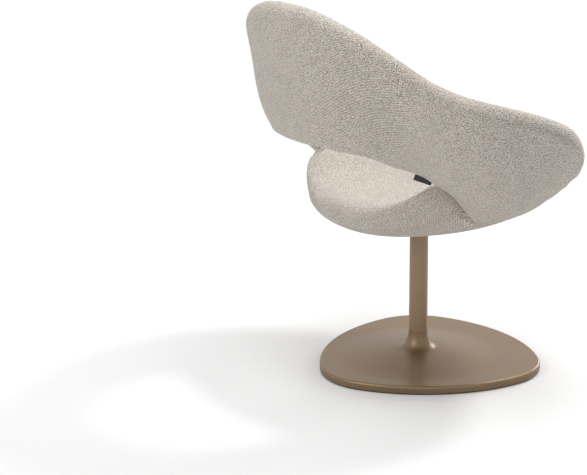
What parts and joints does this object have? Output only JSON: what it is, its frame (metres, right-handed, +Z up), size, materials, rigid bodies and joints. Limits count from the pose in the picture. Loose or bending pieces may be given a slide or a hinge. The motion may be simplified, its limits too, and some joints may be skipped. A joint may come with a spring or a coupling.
{
  "type": "swivel armchair",
  "caption": "Upholstered tub armchair with a wrap-round back over an open gap, turning on a slim column above a low dished pedestal base with rounded corners",
  "frame": {"origin": "on the floor under the axis of the column, on the lower face of the floor pad", "axes": "+Z up along the column, +Y to the back of the chair, so a sitter faces -Y, and +X to the sitter's left"},
  "size_m": [0.774, 0.5988, 0.77],
  "materials": {
    "bronze_coat": "satin",
    "bronze_tube": "satin",
    "plain_steel": "satin",
    "zinc": "satin",
    "bearing_steel": "polished",
    "ball_steel": "polished",
    "spring_steel": "satin",
    "black_steel": "satin",
    "cage_brass": "satin",
    "bush_plastic": "matte",
    "pad_rubber": "matte",
    "plywood": "matte",
    "moulded_shell": "matte",
    "foam": "matte",
    "wool_cover": "matte",
    "black_plastic": "matte",
    "black_screw": "satin",
    "dark_tab": "matte"
  },
  "bodies": {
    "foot": {"base_casting": "bronze_coat", "ballast_plate": "plain_steel", "ballast_screws": "zinc", "floor_pad": "pad_rubber", "column_tube": "bronze_tube", "column_plug": "plain_steel", "centre_bolt": "zinc", "centre_washer": "zinc", "lower_bush": "bush_plastic", "upper_bush": "bush_plastic", "bearing_lower_race": "bearing_steel"},
    "ball_cage": {"bearing_cage": "cage_brass", "bearing_balls": "ball_steel"},
    "seat": {"bearing_upper_race": "bearing_steel", "spindle": "bearing_steel", "spindle_washer": "zinc", "retaining_ring": "spring_steel", "mount_plate": "black_steel", "mount_screws": "zinc", "tee_nuts": "zinc", "seat_panel": "plywood", "side_bracket_left": "black_steel", "side_bracket_right": "black_steel", "panel_screws": "zinc", "core_screws": "zinc", "back_arm_core": "moulded_shell", "back_arm_foam": "foam", "back_arm_cover": "wool_cover", "seat_foam": "foam", "seat_cover": "wool_cover", "underside_cover": "black_plastic", "underside_screws": "black_screw", "label_tab": "dark_tab"}
  },
  "joints": [
    {"name": "swivel", "type": "hinge", "parent": "foot", "child": "seat", "pos_m": [0, 0, 0.3], "axis": [0, 0, 1], "continuous": true},
    {"name": "cage_spin", "type": "hinge", "parent": "foot", "child": "ball_cage", "pos_m": [0, 0, 0.335], "axis": [0, 0, 1], "continuous": true}
  ],
  "couplings": [
    {"joint": "cage_spin", "follows": "swivel", "ratio": 0.5}
  ]
}
